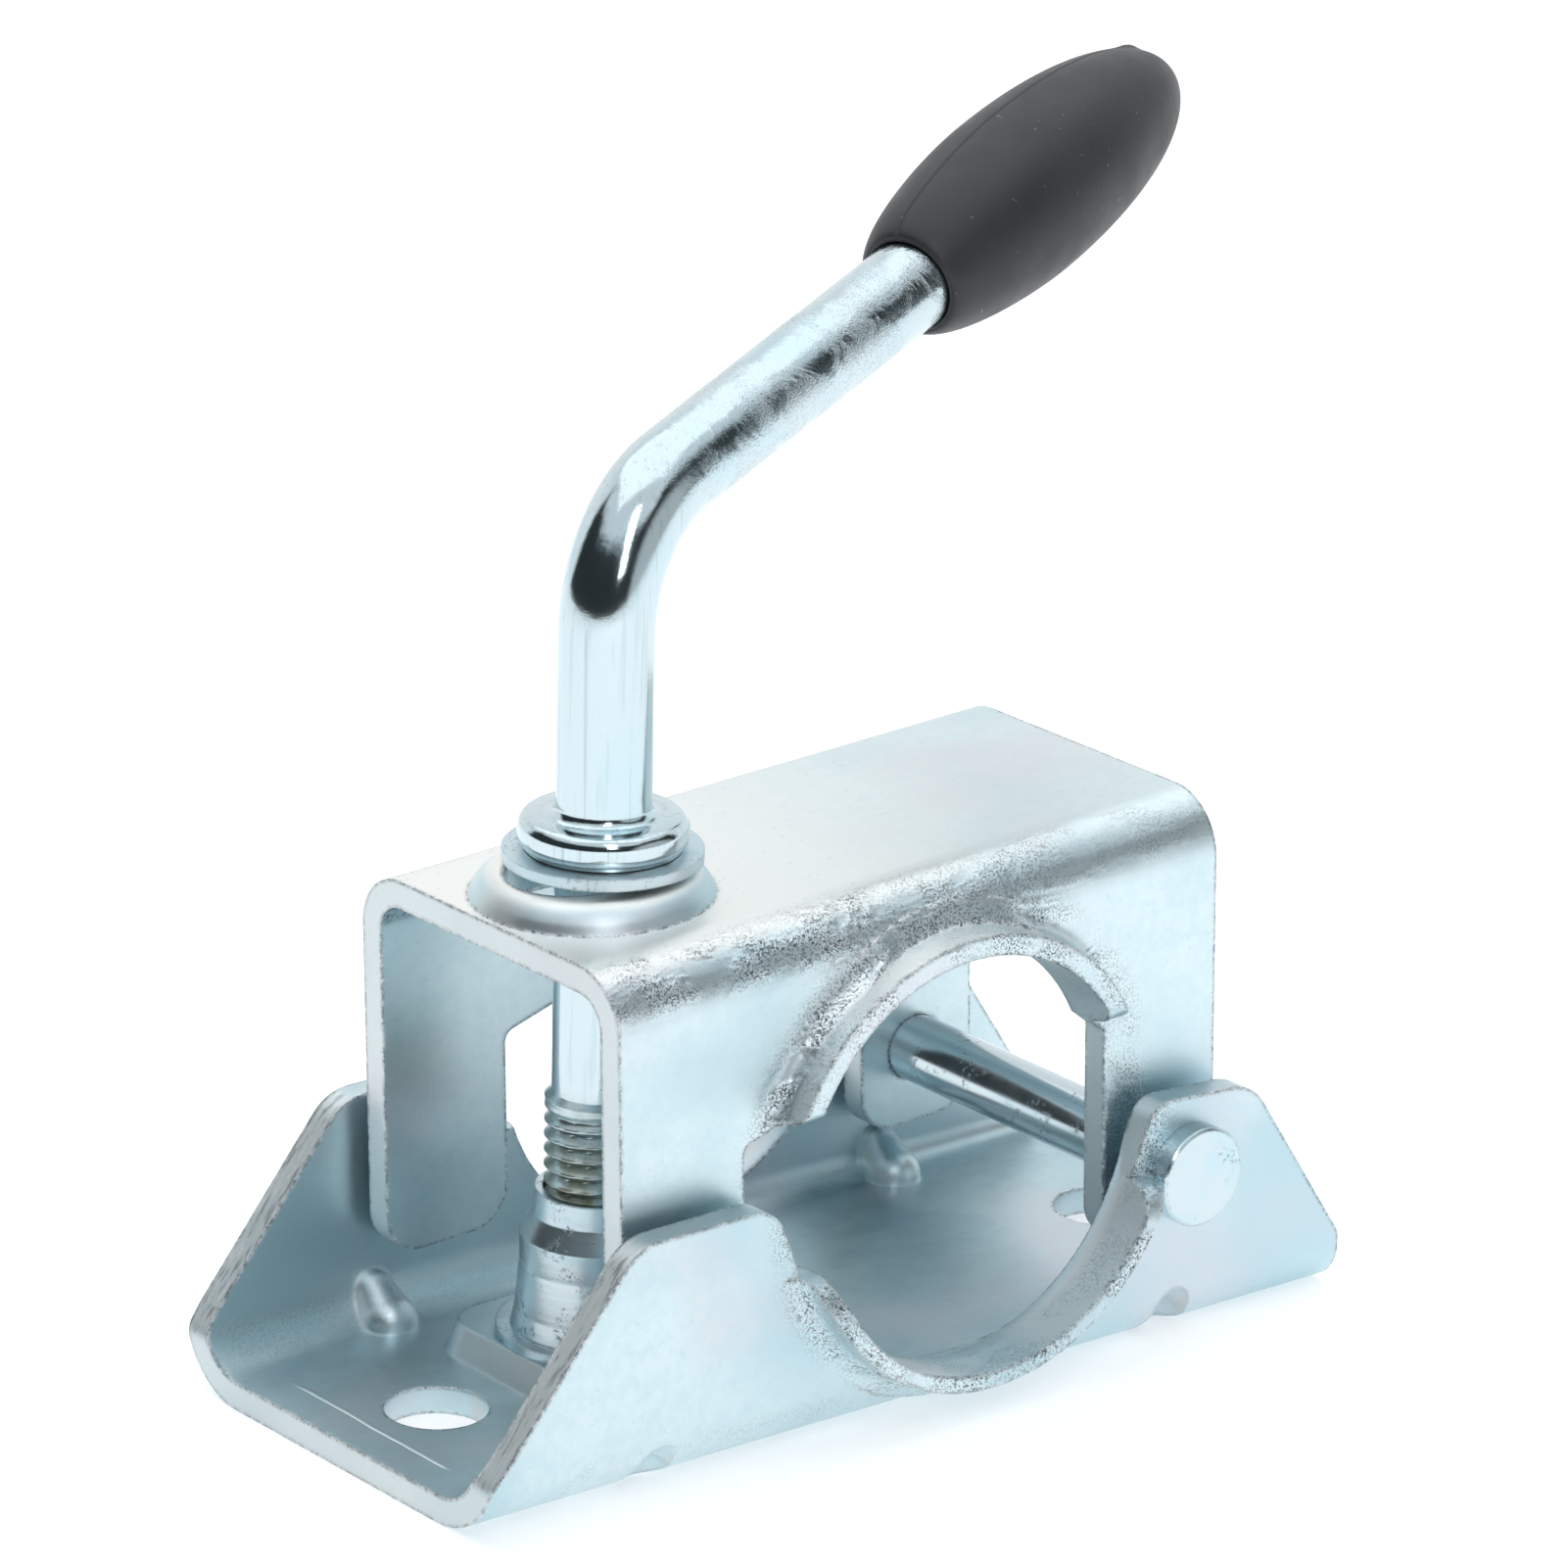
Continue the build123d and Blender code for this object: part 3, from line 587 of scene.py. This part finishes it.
def ring_mesh(name, rings, mat):
    """Closed piece through rings of the same number of points, with capped ends."""
    count = len(rings[0])
    points = [p for ring in rings for p in ring]
    faces = [tuple(reversed(range(count)))]
    for i in range(len(rings) - 1):
        for j in range(count):
            k = (j + 1) % count
            faces.append((i * count + j, i * count + k, (i + 1) * count + k, (i + 1) * count + j))
    faces.append(tuple(range((len(rings) - 1) * count, len(rings) * count)))
    mesh = bpy.data.meshes.new(name)
    mesh.from_pydata(points, [], faces)
    mesh.validate()
    mesh.shade_smooth()
    mesh.set_sharp_from_angle(angle=SHARP_ANGLE)
    mesh.materials.append(mat)
    piece = bpy.data.objects.new(name, mesh)
    bpy.context.collection.objects.link(piece)
    return piece


def bend_place(s, turned, out):
    """Centre of the bar and its direction where the bend has turned by an angle."""
    centre = Vector((s.screw_x, 0, s.bend_start)) + out * s.bend_radius * (1 - math.cos(turned))
    centre.z += s.bend_radius * math.sin(turned)
    return centre, out * math.sin(turned) + UP * math.cos(turned)


def arm_path(s):
    """Start and direction of the arm, and its level direction."""
    out = Vector((math.cos(s.arm_azimuth), math.sin(s.arm_azimuth), 0))
    end, way = bend_place(s, s.bend_angle, out)
    return end, way, out


def ring_at(centre, way, side, radii, angles):
    """Points round a centre; side is the level direction square to way."""
    over = way.cross(side)
    return [centre + (side * math.cos(a) + over * math.sin(a)) * r for a, r in zip(angles, radii)]


def even_angles(s):
    """Evenly spaced angles round the bar or the grip."""
    return [math.tau * i / s.segments for i in range(s.segments)]


def thread_radius(s, z, around):
    """Radius of the thread at a height and an angle, with a bevelled start and a run-out."""
    phase = ((z - s.screw_end) / s.thread_pitch - around / math.tau) % 1.0
    slope = min(abs(phase - 0.5) / THREAD_FLANK, 1.0)
    r = s.thread_root + (s.thread_crest - s.thread_root) * slope
    top = s.screw_end + s.thread_length
    fade = min(max((top - z) / (THREAD_FADE * s.thread_pitch), 0.0), 1.0)
    r = s.thread_crest + (r - s.thread_crest) * fade
    return min(r, s.thread_root - THREAD_START + (z - s.screw_end))


def shank_profile(s):
    """Radius and height pairs of the shoulder, the shank, the flange and its neck."""
    top = s.screw_end + s.thread_length
    foot, rim, rod = s.flange_foot, s.flange_radius, s.rod_radius
    roof = foot + s.flange_height
    profile = [(r, top + rise) for r, rise in zip((s.thread_crest, rod, rod), SHOULDER)]
    profile += [(rod, top + (foot - top) * k / SHANK_RINGS) for k in range(1, SHANK_RINGS + 1)]
    profile += [(rim - inset * MM, foot + rise * MM) for inset, rise in FLANGE_RIM]
    profile += [(rim - FLANGE_TOP, roof), (rod + FLANGE_INNER, roof)]
    for k in range(NECK_RINGS + 1):
        a = math.pi / 2 * k / NECK_RINGS
        profile.append((rod + NECK * (1 - math.sin(a)), roof + NECK * (1 - math.cos(a))))
    return profile


def bend_rings(s, out, side, angles):
    """Rings of the bend, where the bar goes slightly oval."""
    rings = []
    for k in range(BEND_RINGS + 1):
        centre, along = bend_place(s, s.bend_angle * k / BEND_RINGS, out)
        squeeze = BEND_SQUEEZE / 2 * math.sin(math.pi * k / BEND_RINGS)
        radii = [s.rod_radius * (1 + squeeze * math.cos(2 * a)) for a in angles]
        rings.append(ring_at(centre, along, side, radii, angles))
    return rings


def screw_rings(s):
    """Rings of the screw, the shank, the flange, the rod, the bend and the arm."""
    angles = even_angles(s)
    end, way, out = arm_path(s)
    side = UP.cross(out).normalized()
    plain = [s.rod_radius] * s.segments

    def level(z, radii):
        return ring_at(Vector((s.screw_x, 0, z)), UP, side, radii, angles)

    steps = int(s.thread_length / (s.thread_pitch / RINGS_PER_TURN))
    heights = [s.screw_end + s.thread_length * i / steps for i in range(steps + 1)]
    rings = [level(z, [thread_radius(s, z, a) for a in angles]) for z in heights]
    rings += [level(z, [r] * s.segments) for r, z in shank_profile(s)]
    first = s.flange_foot + s.flange_height + NECK
    rings += [level(first + (s.bend_start - first) * k / ROD_RINGS, plain)
              for k in range(1, ROD_RINGS)]
    rings += bend_rings(s, out, side, angles)
    reach = s.arm_length + s.arm_in_grip
    rings += [ring_at(end + way * reach * k / ARM_RINGS, way, side, plain, angles)
              for k in range(1, ARM_RINGS + 1)]
    return rings


def dent(rings, seed):
    """Tiny unevenness of a hand-bent bar, well under a tenth of a millimetre."""
    shift = Vector((seed, 0, 0))
    for ring in rings:
        centre = sum(ring, Vector()) / len(ring)
        for p in ring:
            p += (p - centre).normalized() * noise.noise(p / DENT_SIZE + shift) * DENT_DEPTH
    return rings


def grip_radius(s, along):
    """Radius of the oval grip at a distance from its mouth."""
    if along < s.grip_shoulder:
        k = 1 - ((s.grip_shoulder - along) / s.grip_shoulder) ** MOUTH_POWER
        return s.grip_mouth + (s.grip_radius - s.grip_mouth) * max(k, 0) ** (1 / MOUTH_POWER)
    k = 1 - ((along - s.grip_shoulder) / s.grip_nose) ** NOSE_POWER
    return s.grip_radius * max(k, 0) ** (1 / NOSE_POWER)


def seam(s, around, along, total):
    """Change of radius at the mould seam, with the gate's nib near the tip."""
    away = (around - s.seam_angle + math.pi) % math.tau - math.pi
    near = min(abs(away), abs(abs(away) - math.pi))
    groove = max(0.0, 1 - near / SEAM_HALF_WIDTH)
    fade = min(1.0, max(0.0, (total - along) / SEAM_FADE))
    nib = 0.0
    if abs(away) < NIB_REACH:
        nib = math.exp(-((along - total + NIB_PLACE) / NIB_LENGTH) ** 2)
        nib *= math.exp(-(away / NIB_WIDTH) ** 2)
    return nib * NIB_HEIGHT - s.seam_depth * groove * fade


def grip_angles(s):
    """Angles round the grip, closer together at both sides' seams."""
    angles = even_angles(s)
    for centre in (s.seam_angle, s.seam_angle + math.pi):
        angles += [centre + math.radians(station) for station in SEAM_STATIONS]
    angles = sorted(a % math.tau for a in angles)
    return [a for i, a in enumerate(angles) if i == 0 or a - angles[i - 1] > SAME_ANGLE]


def grip_rings(s):
    """Rings of the grip from inside its mouth to its tip."""
    end, way, _ = arm_path(s)
    mouth = end + way * s.arm_length
    level = way.cross(UP).normalized()
    nose = Quaternion(level, s.grip_rise) @ way
    over = level.cross(nose).normalized()
    total = s.grip_shoulder + s.grip_nose
    angles = grip_angles(s)

    def ring(along, radius, marked=True):
        made = []
        for a in angles:
            r = radius + (seam(s, a, along, total) if marked else 0.0)
            made.append(mouth + nose * along + (over * math.cos(a) + level * math.sin(a)) * r)
        return made

    inner, lip = s.rod_radius + BORE_GAP, s.grip_mouth
    # Distance from the mouth and radius, from the bore round the rolled edge
    mouth_profile = (
        (1.5 * MM, inner - 0.4 * MM), (0.5 * MM, inner), (0.0, inner + 0.1 * MM),
        (-0.12 * MM, (inner + lip) / 2), (0.02 * MM, lip - 0.05 * MM))
    rings = [ring(along, radius, marked=False) for along, radius in mouth_profile]
    for i in range(1, GRIP_RINGS):
        along = total * (1 - math.cos(math.pi * i / GRIP_RINGS)) / 2
        rings.append(ring(along, grip_radius(s, along)))
    rings.append(ring(total - TIP_GAP, TIP_RADIUS, marked=False))
    return rings


class CLAMP_OT_channels(bpy.types.Operator):
    """Finish both pressed channels"""
    bl_idname = "clamp.channels"
    bl_label = "Channels"

    def execute(self, context):
        colours, s = context.scene.clamp_colours, context.scene.clamp_sizes
        dress("base_channel", zinc_sheet("zinc_base", colours, s.tube_height,
                                         s.base_width / 2, worked=0.2))
        dress("clamp_channel", zinc_sheet("zinc_clamp", colours, s.tube_height,
                                          s.clamp_width / 2, worked=1.0))
        return {"FINISHED"}


class CLAMP_OT_hardware(bpy.types.Operator):
    """Finish the pin, the nut and the washer"""
    bl_idname = "clamp.hardware"
    bl_label = "Pin, nut and washer"

    def execute(self, context):
        colours = context.scene.clamp_colours
        dress("pivot_pin", zinc_turned("zinc_pin", colours, roughness=0.16,
                                       grain_scale=(500, 30, 500), centre=PIN_CENTRE))
        dress("clamp_nut", zinc_turned("zinc_nut", colours, roughness=0.24,
                                       grain_scale=(60, 60, 900)))
        dress("thrust_washer", zinc_turned("zinc_washer", colours, roughness=0.34,
                                           grain_scale=(120, 120, 900)))
        return {"FINISHED"}


class CLAMP_OT_screw(bpy.types.Operator):
    """Make the screw, its flange and the bent arm with a cut thread"""
    bl_idname = "clamp.screw"
    bl_label = "Screw handle"

    def execute(self, context):
        sizes = context.scene.clamp_sizes
        mat = zinc_rod("zinc_rod", context.scene.clamp_colours, sizes)
        piece = ring_mesh("screw_and_arm", dent(screw_rings(sizes), seed=3.1), mat)
        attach(piece, "handle")
        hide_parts("screw_handle")
        return {"FINISHED"}


class CLAMP_OT_grip(bpy.types.Operator):
    """Make the moulded grip with its seam"""
    bl_idname = "clamp.grip"
    bl_label = "Grip"

    def execute(self, context):
        mat = black_grip("black_grip", context.scene.clamp_colours)
        piece = ring_mesh("moulded_grip", grip_rings(context.scene.clamp_sizes), mat)
        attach(piece, "handle")
        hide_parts("hand_grip")
        return {"FINISHED"}


def view_axes(view):
    """Directions of the camera's back, right and up in the frame."""
    a, e, r = view.azimuth, view.elevation, view.roll
    back = Vector((math.sin(a) * math.cos(e), -math.cos(a) * math.cos(e), math.sin(e)))
    right = Vector((math.cos(a), math.sin(a), 0))
    up = back.cross(right)
    return back, right * math.cos(r) + up * math.sin(r), up * math.cos(r) - right * math.sin(r)


def add_camera(context, view):
    """Camera that sees the clamp as in the photograph."""
    back, right, up = view_axes(view)
    data = bpy.data.cameras.new("clamp_camera")
    data.sensor_width = SENSOR
    data.lens = view.focal_pixels * SENSOR / IMAGE_WIDTH
    data.clip_start, data.clip_end = 0.01, 50
    camera = bpy.data.objects.new("clamp_camera", data)
    context.collection.objects.link(camera)
    turn = Matrix((right, up, back)).transposed().to_4x4()
    camera.matrix_world = Matrix.Translation(Vector(view.target) + back * view.distance) @ turn
    context.scene.camera = camera


def white_floor():
    """Matt white sheet, a little brighter to the camera and in the metal than it lights."""
    mat, t, shader = new_material("white_floor")
    path = t.node("ShaderNodeLightPath").outputs
    seen = t.most(t.most(path["Is Camera Ray"], path["Is Glossy Ray"]),
                  path["Is Transmission Ray"])
    join(t, shader, Base_Color=FLOOR_COLOUR, Roughness=1.0, Specular_IOR_Level=0.0,
         Emission_Color=(*WHITE, 1), Emission_Strength=t.times(seen, FLOOR_GLOW))
    return mat


def add_floor(context):
    """Level sheet under the clamp."""
    mesh = bpy.data.meshes.new("floor")
    corners = [(x * FLOOR_REACH, y * FLOOR_REACH, 0)
               for x, y in ((-1, -1), (1, -1), (1, 1), (-1, 1))]
    mesh.from_pydata(corners, [], [(0, 1, 2, 3)])
    floor = bpy.data.objects.new("floor", mesh)
    context.collection.objects.link(floor)
    mesh.materials.append(white_floor())


def surroundings(colours):
    """Pale studio that is dark on the side from which the clamp is seen."""
    world = bpy.data.worlds.new("studio")
    world.use_nodes = True
    t = Tree(world.node_tree)
    way = t.node("ShaderNodeTexCoord").outputs["Generated"]
    x, y, z = t.parts(way)

    def towards(side):
        return t.plus(t.times(x, side[0]), t.times(y, side[1]))

    wavy = t.times(t.noise(way, 2.5, detail=3.0, rough=0.6), 0.3)
    wavy = t.math("SUBTRACT", wavy, 0.15)
    shade = t.ramp(t.plus(towards(DARK_SIDE), wavy), -0.42, -0.28)
    band = t.times(t.ramp(z, -0.02, 0.03), t.ramp(t.plus(z, wavy), 0.74, 0.58))
    dark = t.times(shade, band, t.ramp(towards(PALER_SIDE), 0.80, 0.93, 1.0, 0.45))
    seen = t.paint(
        SKY_LOW,
        (t.ramp(z, 0.25, 0.85), SKY_HIGH),
        (dark, colours.flag),
        (t.node("ShaderNodeLightPath").outputs["Is Camera Ray"], WHITE))
    join(t, world.node_tree.nodes["Background"], Color=seen, Strength=1.0)
    return world


def add_lamp(context, name, place, size, power):
    """Soft oblong lamp that points at the clamp."""
    data = bpy.data.lights.new(name, "AREA")
    data.shape = "RECTANGLE"
    data.size, data.size_y = size
    data.energy, data.color = power, WHITE
    lamp = bpy.data.objects.new(name, data)
    context.collection.objects.link(lamp)
    lamp.location = place
    aim = Vector(LAMP_AIM) - Vector(place)
    lamp.rotation_euler = aim.to_track_quat("-Z", "Y").to_euler()


class CLAMP_OT_stage(bpy.types.Operator):
    """Add the floor, the lamps and the camera"""
    bl_idname = "clamp.stage"
    bl_label = "Stage"

    def execute(self, context):
        add_floor(context)
        context.scene.world = surroundings(context.scene.clamp_colours)
        for name, place, size, power in LAMPS:
            add_lamp(context, name, place, size, power)
        context.scene.view_settings.view_transform = "Standard"
        add_camera(context, context.scene.clamp_view)
        return {"FINISHED"}


class CLAMP_PT_panel(bpy.types.Panel):
    """Sidebar panel with the steps in order, and the sizes, colours and view"""
    bl_idname = "CLAMP_PT_panel"
    bl_label = "Tube Clamp"
    bl_space_type = "VIEW_3D"
    bl_region_type = "UI"
    bl_category = "Tube Clamp"

    def draw(self, context):
        for step in STEPS:
            self.layout.operator(step.bl_idname)
        scene = context.scene
        for group in (scene.clamp_sizes, scene.clamp_colours, scene.clamp_view):
            box = self.layout.box()
            for name in type(group).__annotations__:
                box.prop(group, name)


GROUPS = (ClampSizes, ClampColours, ClampView)
STEPS = (CLAMP_OT_channels, CLAMP_OT_hardware, CLAMP_OT_screw, CLAMP_OT_grip, CLAMP_OT_stage)


def register():
    for cls in (*GROUPS, *STEPS, CLAMP_PT_panel):
        bpy.utils.register_class(cls)
    bpy.types.Scene.clamp_sizes = PointerProperty(type=ClampSizes)
    bpy.types.Scene.clamp_colours = PointerProperty(type=ClampColours)
    bpy.types.Scene.clamp_view = PointerProperty(type=ClampView)


def unregister():
    del bpy.types.Scene.clamp_view
    del bpy.types.Scene.clamp_colours
    del bpy.types.Scene.clamp_sizes
    for cls in reversed((*GROUPS, *STEPS, CLAMP_PT_panel)):
        bpy.utils.unregister_class(cls)


def main():
    register()
    bpy.ops.clamp.channels()
    bpy.ops.clamp.hardware()
    bpy.ops.clamp.screw()
    bpy.ops.clamp.grip()
    bpy.ops.clamp.stage()
    bpy.context.view_layer.update()


if __name__ == "__main__":
    main()
